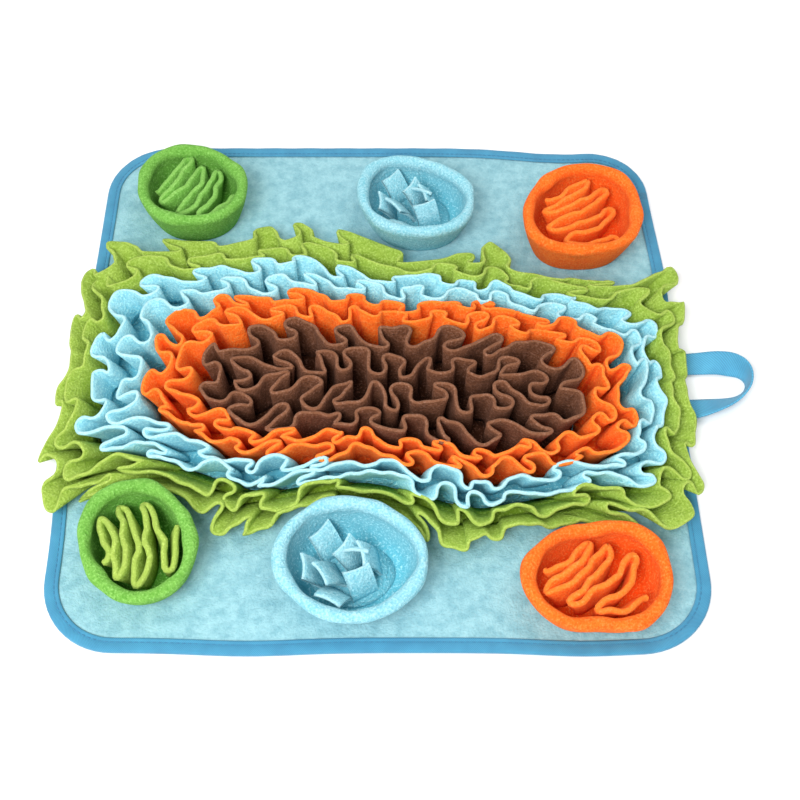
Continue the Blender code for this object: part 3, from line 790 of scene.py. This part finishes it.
def with_group(tree, shader, group, values):
    """A group in a material, with its values set and its colour and normal on the shader."""
    node = tree.nodes.new("ShaderNodeGroup")
    node.node_tree = group
    set_inputs(node, values)
    tree.links.new(node.outputs["Colour"], shader.inputs["Base Color"])
    tree.links.new(node.outputs["Normal"], shader.inputs["Normal"])
    return node, tree.nodes.new("ShaderNodeTexCoord").outputs["UV"]


def fleece_material(name, colour, deep, sheen):
    material, shader, tree = principled(name)
    make_matt(shader, sheen)
    tint = [min(1.0, 0.15 + value) for value in colour]
    light = [min(1.0, 1.35 * value + 0.05) for value in colour]
    shader.inputs["Sheen Tint"].default_value = (*tint, 1.0)
    # Deep paints shade towards the root and also colours the dark flecks and mottling
    values = {"Cloth": (*colour, 1.0), "Deep": (*deep, 1.0), "Light": (*light, 1.0)}
    nap, place = with_group(tree, shader, nap_group(), values)
    split = tree.nodes.new("ShaderNodeSeparateXYZ")
    tree.links.new(place, split.inputs["Vector"])
    tree.links.new(split.outputs["Y"], nap.inputs["Share"])
    return material


def fleece(name):
    """The cloth, with painted shade at its root, and its cut edge, lighter partly by tone and
    partly by painted highlight.
    """
    cloth = bpy.data.materials.get(f"{name} fleece")
    if cloth is None:
        colour, deep, cut = FLEECES[name]
        cloth = fleece_material(f"{name} fleece", colour, deep, FLEECE_SHEEN)
        # The lighter cut-edge colour: partly the fleece's own tone, partly a painted highlight
        fleece_material(f"{name} fleece cut edge", cut, colour, CUT_SHEEN)
    return cloth, bpy.data.materials[f"{name} fleece cut edge"]


def base_fleece():
    """Short-napped fleece with larger, softer mottling than the ruffles."""
    material, shader, tree = principled("aqua base fleece")
    colour, deep, light = FLEECES["aqua"]
    place = tree.nodes.new("ShaderNodeTexCoord").outputs["Object"]
    brushed = noise(tree, place, scale=110, detail=5.0, roughness=0.68)
    pills = noise(tree, place, scale=560, detail=3.0, roughness=0.6)
    shade = mapped(tree, brushed, (0.40, 0.62), (0.0, 1.0))
    mottled = mixed(tree, shade, light, deep)
    fleck = mapped(tree, pills, (0.40, 0.64), (0.0, 0.6))
    tree.links.new(mixed(tree, fleck, mottled, colour), shader.inputs["Base Color"])
    felted = bumped(tree, pills, strength=0.9, distance=0.0014)
    tree.links.new(felted, shader.inputs["Normal"])
    make_matt(shader, BASE_SHEEN)
    return material


def woven_group():
    """Ribs that run across a narrow woven tape, from its place along and across in metres."""
    name = "woven ribs"
    if name in bpy.data.node_groups:
        return bpy.data.node_groups[name]
    inputs = {"Cloth": "Color", "Deep": "Color", "Place": "Vector", "Rib scale": "Float"}
    group, given, made = new_group(name, inputs)
    wave = group.nodes.new("ShaderNodeTexWave")
    wave.wave_type = "BANDS"
    wave.bands_direction = "DIAGONAL"
    set_inputs(wave, {"Distortion": 0.6, "Detail": 1.0})
    group.links.new(given["Place"], wave.inputs["Vector"])
    group.links.new(given["Rib scale"], wave.inputs["Scale"])
    ribs = wave.outputs["Fac"]
    worn = noise(group, given["Place"], scale=60, detail=3.0)
    shade = mapped(group, ribs, (0.0, 1.0), (0.75, 0.0))
    ribbed = mixed(group, shade, given["Cloth"], given["Deep"])
    fade = mapped(group, worn, (0.35, 0.7), (0.0, 0.3))
    faded = mixed(group, fade, ribbed, (1.0, 1.0, 1.0), "SOFT_LIGHT")
    group.links.new(faded, made["Colour"])
    group.links.new(bumped(group, ribs, strength=0.6, distance=0.0004), made["Normal"])
    return group


def woven_material(name):
    material, shader, tree = principled(name)
    colour, rib_scale = WOVENS[name]
    deep = [WOVEN_SHADE * value for value in colour]
    values = {"Cloth": (*colour, 1.0), "Deep": (*deep, 1.0), "Rib scale": rib_scale}
    weave, place = with_group(tree, shader, woven_group(), values)
    tree.links.new(place, weave.inputs["Place"])
    set_inputs(shader, {"Roughness": WOVEN_ROUGHNESS, "Sheen Weight": WOVEN_SHEEN})
    return material


# ---- base, tape and loop


def make_mat_sheet():
    """The fleece square: flat on the floor, tucked into the tape's fold, hardly waved above."""
    start = BINDING_WALL + GAP
    under_tape = BINDING_WIDTH + 1.0
    top = MAT_THICK - SHEET_SINK
    rings = [
        (mat_outline(under_tape + SHEET_TUCK), 0.0),
        (mat_outline(under_tape), start),
        (mat_outline(start), start),
        (mat_outline(start), MAT_THICK - SHEET_EDGE_SINK),
    ]
    # The waves begin one ring further in than the tape
    still = len(rings) + sum(inset <= under_tape for inset in SHEET_INSETS)
    rings += [(mat_outline(inset), top) for inset in SHEET_INSETS]
    rim = rings[-1][0]
    rings += [(rim * share, top) for share in np.linspace(*SHEET_SHARES)]
    count = len(rim)
    points = np.empty((len(rings), count, 3))
    for number, (ring, height) in enumerate(rings):
        x, y = ring[:, 0], ring[:, 1]
        wave = np.sin(x / 17 + 1.3 * np.sin(y / 31)) * SHEET_WAVE
        wave += np.sin(y / 14 + x / 43) * SHEET_WAVE
        points[number, :, :2] = ring
        points[number, :, 2] = height + (wave if number > still else 0)
    faces = skin(len(rings), count, (False, True), flipped=True)
    faces.append(tuple(reversed(range(count))))
    last = (len(rings) - 1) * count
    faces.append(tuple(last + k for k in range(count)))
    flat = points.reshape(-1, 3)
    uvs = np.column_stack((flat[:, 0] * MM, np.ones(len(flat))))
    obj = mesh_object("mat_sheet", flat, faces, [base_fleece()], None, uvs)
    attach(obj, "root")
    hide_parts("mat_base")


def make_tape():
    """Twill tape folded over the edge, with a sewn groove near its inner edge."""
    rows = [np.insert(mat_outline(inset), 2, level, axis=1) for inset, level in TAPE_SECTION]
    points = np.stack(rows, axis=1)
    around_edge = distances(closed_path(points[:, 4]))
    along = around_edge[:-1]
    pucker = sum(height * np.sin(along / length) for height, length in PUCKERS)
    for row in PUCKERED:
        points[:, row, 2] += pucker
    across = distances(np.array(TAPE_SECTION))
    tape = woven_material("blue twill tape")
    faces = skin(len(points), len(TAPE_SECTION))
    uvs = cloth_uvs(along * MM, across * MM)
    obj = mesh_object("edge_tape", points, faces, [tape], None, uvs)
    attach(obj, "root")
    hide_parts("edge_binding")
    stitches = make_stitches()


def make_stitches():
    """The row of thread in the tape's groove."""
    line = closed_path(mat_outline(STITCH_INSET))
    along = distances(line)
    number = round(along[-1] / STITCH_PITCH)
    length, width, height = STITCH_SIZE
    turns = np.arange(STITCH_SIDES) / STITCH_SIDES * 2 * math.pi
    ring = [(math.cos(turn), math.sin(turn)) for turn in turns]
    rings = len(STITCH_SWELLS)
    points = []
    faces = []
    for middle in (np.arange(number) + 0.5) / number * along[-1]:
        tail, head = (
            np.array([np.interp(middle + k * length / 2, along, line[:, axis]) for axis in (0, 1)])
            for k in (-1, 1)
        )
        run = (head - tail) / np.linalg.norm(head - tail)
        side = np.array((-run[1], run[0]))
        start = len(points)
        for share, swell in STITCH_SWELLS:
            centre = tail + share * (head - tail)
            for c, s in ring:
                x, y = centre + side * c * width / 2 * swell
                points.append((x, y, BINDING_TOP - STITCH_SINK + s * height * swell))
        for face in skin(rings, STITCH_SIDES, (False, True)):
            faces.append(tuple(start + corner for corner in face))
        end = start + (rings - 1) * STITCH_SIDES
        faces.append(tuple(start + k for k in range(STITCH_SIDES)))
        faces.append(tuple(end + k for k in reversed(range(STITCH_SIDES))))
    thread = woven_material("blue sewing thread")
    uvs = np.array(points)[:, :2] * MM
    obj = mesh_object("tape_stitches", points, faces, [thread], None, uvs)
    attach(obj, "root")
    return obj


def make_loop():
    """The webbing loop on its CAD route, with a thicker selvedge along both edges."""
    route = np.array(STRAP_ROUTE, float)
    places = np.linspace(0, len(route) - 1, STRAP_STEPS)
    first = np.minimum(places.astype(int), len(route) - 2)
    t = (places - first)[:, None]
    padded = np.vstack((2 * route[0] - route[1], route, 2 * route[-1] - route[-2]))
    before, start, end, after = (padded[first + k] for k in range(4))
    smooth = hermite(start, end, (end - before) / 2, (after - start) / 2, t)
    middle = smooth[:, :3]
    turn = np.radians(smooth[:, 3])
    ahead = np.gradient(middle, axis=0)
    # It leaves the mat at the angle at which it comes back
    ahead[0] = ahead[-1] * (-1, 1, 1)
    ahead /= np.linalg.norm(ahead, axis=1)[:, None]
    level = np.cross((0, 0, 1), ahead)
    level /= np.linalg.norm(level, axis=1)[:, None]
    raised = np.cross(ahead, level)
    width = level * np.cos(turn)[:, None] + raised * np.sin(turn)[:, None]
    through = np.cross(ahead, width)
    half = STRAP_THICK / 2
    upper = [
        (share, half * (1.0 if abs(share) > STRAP_FLAT else STRAP_THIN))
        for share in np.linspace(-1, 1, STRAP_POINTS)
    ]
    lower = [(share, -level) for share, level in reversed(upper)]
    section = [*upper, (STRAP_EDGE, 0.0), *lower, (-STRAP_EDGE, 0.0)]
    points = np.stack(
        [middle + share * STRAP_WIDTH / 2 * width + level * through for share, level in section],
        axis=1,
    )
    rows = len(section)
    along = distances(middle)
    across = np.array([share * STRAP_WIDTH / 2 for share, _ in section])
    faces = skin(STRAP_STEPS, rows, (False, True), flipped=True)
    faces.append(tuple(range(rows)))
    faces.append(tuple((STRAP_STEPS - 1) * rows + row for row in reversed(range(rows))))
    webbing = woven_material("blue webbing")
    uvs = cloth_uvs(along * MM, across * MM)
    obj = mesh_object("webbing_loop", points, faces, [webbing], None, uvs)
    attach(obj, "root")
    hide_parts("handle_loop")


# ---- pockets and their fillings


def round_middle(x, y, angle, section):
    """Stations at the angles round (x, y): section holds (radius, height) pairs of arrays."""
    rows = [
        np.column_stack((x + radius * np.cos(angle), y + radius * np.sin(angle), level))
        for radius, level in section
    ]
    return np.stack(rows, axis=1)


def make_pocket(name, colour, x, y, radii, height, tilt, seed):
    """The doubled wall, which leans out from its foot and is rolled over softly at its rim, and
    the thin bottom inside it. The first and last points of the section bound that bottom."""
    chance = random.Random(seed)
    turns = np.arange(POCKET_STEPS) / POCKET_STEPS
    angle = 2 * math.pi * turns
    rim = around(radii, turns)
    lumps = sum(
        size * np.sin(number * angle + chance.uniform(0, 6.3)) for number, size in POCKET_LUMPS
    )
    top = height + tilt * np.sin(angle)
    floor = np.full(POCKET_STEPS, MAT_THICK + GAP)
    foot = rim * POCKET_FOOT
    roll = POCKET_ROLL
    half_way = (foot + rim) / 2 + 1.0
    half_up = (floor + top) / 2
    section = [
        (foot - POCKET_WALL, floor - 0.2),
        (foot - 0.5, floor - 0.2),
        (foot, floor + 1.2),
        (half_way - 0.5, half_up - 3.0),
        (rim - 2.2, top - roll - 1.0),
        (rim - 0.8 + 0.5 * lumps, top - 0.80 * roll),
        (rim + 0.5 * lumps, top - 0.45 * roll),
        (rim - 0.14 * roll + 0.5 * lumps, top - 0.15 * roll),
        (rim - 0.45 * roll + 0.3 * lumps, top + 0.1 * lumps),
        (rim - 0.78 * roll - 0.4 * lumps, top - 0.12 * roll),
        (rim - roll - 0.5 * lumps, top - 0.45 * roll),
        (rim - 0.98 * roll - 0.5 * lumps, top - 0.80 * roll),
        (rim - 0.88 * roll, top - roll - 1.0),
        (half_way - 1.3 * POCKET_WALL, half_up - 2.0),
        (foot - POCKET_WALL - 0.3, floor + 1.5),
        (foot - POCKET_WALL - 2.0, floor + 0.05),
    ]
    points = round_middle(x, y, angle, section)
    rows = len(section)
    # Painted shade from these shares: darker at the foot and at the bottom inside
    uvs = cloth_uvs(angle * POCKET_CLOTH_RADIUS * MM, np.array(POCKET_SHARES))
    faces = skin(POCKET_STEPS, rows, (True, False))
    faces.append(tuple(station * rows + rows - 1 for station in range(POCKET_STEPS)))
    faces.append(tuple(station * rows for station in reversed(range(POCKET_STEPS))))
    cloth = fleece(colour)[:1]
    obj = mesh_object(f"{name}_pocket", points, faces, cloth, None, uvs)
    smooth = obj.modifiers.new("smooth", "SUBSURF")
    smooth.levels = 1
    smooth.render_levels = 1
    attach(obj, "root")
    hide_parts(f"pocket_{name}")


def make_fold_filling(name, x, y, radii, direction, colour, seed):
    """A strip folded back and forth across the pocket, its runs bowed one inside another."""
    chance = random.Random(seed)
    tips = FILLING_RUNS + 1
    pitch = 2 * FILLING_SPREAD / FILLING_RUNS
    shift = [chance.uniform(-FILLING_SHIFT, FILLING_SHIFT) for _ in range(tips)]
    places = [-FILLING_SPREAD + (k + shift[k]) * pitch for k in range(tips)]
    short = [chance.uniform(0.0, FILLING_SHORTFALL) for _ in range(tips)]
    rise = [chance.uniform(*FILLING_RISE) for _ in range(tips)]
    ends = [math.sqrt(1 - place**2) * (1 - lost) for place, lost in zip(places, short)]
    ends = [end if k % 2 else -end for k, end in enumerate(ends)]
    steps = np.arange(FILLING_STEPS) / FILLING_STEPS
    lift = [hermite(rise[k], rise[k + 1], 0, 0, t) for k in range(tips - 1) for t in steps]
    axis = math.radians(direction)
    foot = MAT_THICK + GAP + FILLING_SQUASH * FILLING_THICK + FILLING_CLEARANCE
    layers = []
    for (reach, swing), level, lean, heaped in (
        (FILLING_FOOT, np.full(len(lift), foot), 0.0, 0.0),
        (FILLING_EDGE, FILLING_HEIGHT + np.array(lift), FILLING_LEAN, FILLING_HEAP),
    ):
        across, along = fold_path(places, ends, [swing * pitch] * tips, steps)
        across += FILLING_BOW * (0.5 - along**2)
        heap = 1 - across**2 - along**2
        lean = lean * (1 - across**2)
        turns = (np.arctan2(along, across) + axis - math.pi / 2) / (2 * math.pi)
        radius = around(radii, turns) * reach * np.hypot(across, along)
        angle = 2 * math.pi * turns
        line = (
            x + radius * np.cos(angle) + lean * math.sin(axis),
            y + radius * np.sin(angle) - lean * math.cos(axis),
            level + heaped * heap,
        )
        layers.append(np.stack(line, axis=-1))
    grid = leaf_levels(*layers, chance, closed=False)
    # Painted shade: the strip darkens towards its foot
    shares = np.linspace(0, 1, LEAF_LEVELS)
    obj = thick_sheet(f"{name}_folds", grid, FILLING_THICK, fleece(colour), shares, closed=False)
    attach(obj, "root")
    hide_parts(f"filling_{name}")


def tab_grid(x, y, radii, direction, share, turn, lean, length, bend, twist):
    """One tab from its root on the backing to its cut edge, bent, twisted and a little cupped."""
    place = (x, y, MAT_THICK + GAP + TAB_ROOT)
    reach = share * float(around(radii, np.array([direction / 360]))[0])
    spot = place + reach * flat_way(direction)
    along = flat_way(turn)
    across = np.array((-along[1], along[0], 0.0))
    grid = np.empty((TAB_STATIONS, TAB_LEVELS, 3))
    for level, risen in enumerate(np.arange(TAB_LEVELS) / (TAB_LEVELS - 1)):
        tipped = math.radians(lean + bend * (risen - TAB_BEND_MIDDLE))
        turned = along * math.cos(twist * risen) + across * math.sin(twist * risen)
        for k, side in enumerate(np.linspace(-1, 1, TAB_STATIONS)):
            cup = TAB_CUP * side**2 * risen
            grid[k, level] = spot + side * TAB_WIDTH / 2 * turned + across * cup
        ahead = math.cos(tipped) * np.array((0, 0, 1)) + math.sin(tipped) * across
        spot = spot + length / (TAB_LEVELS - 1) * ahead
    return grid


def make_tab_filling(name, colour, x, y, radii, seed):
    """Square-cut tabs standing at all angles on one small backing."""
    chance = random.Random(seed)
    floor = MAT_THICK + GAP
    turns = np.arange(BACKING_STEPS) / BACKING_STEPS
    radius = around(radii, turns) * BACKING_REACH
    under, over = (np.full(BACKING_STEPS, floor + z) for z in (BACKING_FOOT, BACKING_THICK))
    section = ((radius, under), (radius, over), (BACKING_HOLE * radius, over))
    points = round_middle(x, y, 2 * math.pi * turns, section).reshape(-1, 3)
    rows = len(section)
    faces = skin(BACKING_STEPS, rows, (True, False))
    faces.append(tuple(rows * k for k in reversed(range(BACKING_STEPS))))
    faces.append(tuple(rows * k + rows - 1 for k in range(BACKING_STEPS)))
    cloth = fleece(colour)
    # Painted shade: the backing and the tabs' roots are darkened by their low share
    uvs = np.column_stack((points[:, 0] * MM, np.full(len(points), TAB_ROOT_SHARE)))
    backing = mesh_object(f"{name}_backing", points, faces, cloth[:1], None, uvs)
    shares = np.linspace(TAB_ROOT_SHARE, 1, TAB_LEVELS)
    pieces = []
    for number, (share, direction, turn, lean, length) in enumerate(TABS):
        bend = chance.uniform(*TAB_BEND_RANGE)
        twist = math.radians(chance.uniform(-TAB_TWIST, TAB_TWIST))
        grid = tab_grid(x, y, radii, direction, share, turn, lean, length, bend, twist)
        tab_name = f"{name}_tab_{number}"
        pieces.append(thick_sheet(tab_name, grid, TAB_THICK, cloth, shares, closed=False))
    for tab, row in zip(pieces, TABS):
        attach(tab, "root")
    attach(backing, "root")
    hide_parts(f"filling_{name}")


# ---- floor, light and camera


def make_floor():
    mesh = bpy.data.meshes.new("floor")
    low, high = -FLOOR_HALF, FLOOR_HALF
    corners = [(low, low, 0), (high, low, 0), (high, high, 0), (low, high, 0)]
    mesh.from_pydata(corners, [], [(0, 1, 2, 3)])
    floor = add_object("floor", mesh)
    floor.location.z = -FLOOR_DROP
    material, shader, _ = principled("white studio floor")
    set_inputs(shader, {"Base Color": (*[FLOOR_GREY] * 3, 1), "Roughness": FLOOR_ROUGHNESS})
    mesh.materials.append(material)


def make_lights():
    world = bpy.data.worlds.new("white studio")
    bpy.context.scene.world = world
    world.use_nodes = True
    background = world.node_tree.nodes["Background"]
    set_inputs(background, {"Color": (1.0, 1.0, 1.0, 1.0), "Strength": WORLD_STRENGTH})
    for name, place, power, side in LIGHTS:
        light = bpy.data.lights.new(name, "AREA")
        light.energy = power
        light.size = side
        lamp = add_object(name, light)
        lamp.location = place
        lamp.rotation_euler = (-Vector(place)).to_track_quat("-Z", "Y").to_euler()


def make_camera():
    bpy.context.scene.view_settings.view_transform = "Standard"
    data = bpy.data.cameras.new("camera")
    data.sensor_width = CAMERA_SENSOR
    data.lens = CAMERA_LENS
    data.shift_x = CAMERA_SHIFT
    camera = add_object("camera", data)
    camera.location = CAMERA_PLACE
    camera.rotation_euler = (math.radians(90 - CAMERA_PITCH), 0, 0)
    bpy.context.scene.camera = camera


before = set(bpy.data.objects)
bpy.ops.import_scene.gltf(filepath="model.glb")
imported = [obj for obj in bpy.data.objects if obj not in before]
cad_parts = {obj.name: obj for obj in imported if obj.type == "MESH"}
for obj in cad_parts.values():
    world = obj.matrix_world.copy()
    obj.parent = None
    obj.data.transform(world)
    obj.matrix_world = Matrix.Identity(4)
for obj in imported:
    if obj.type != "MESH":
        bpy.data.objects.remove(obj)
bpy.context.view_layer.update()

make_floor()
make_lights()
make_camera()
make_mat_sheet()
make_tape()
make_loop()
for number, row in enumerate(RUFFLES):
    make_ruffle(number, *row)
for number, pocket in enumerate(POCKETS):
    make_pocket(*pocket, number + 1)
    name, colour, x, y, radii = pocket[:5]
    if name in FILLINGS:
        make_fold_filling(name, x, y, radii, *FILLINGS[name], number + 1)
    else:
        make_tab_filling(name, colour, x, y, radii, number + 1)
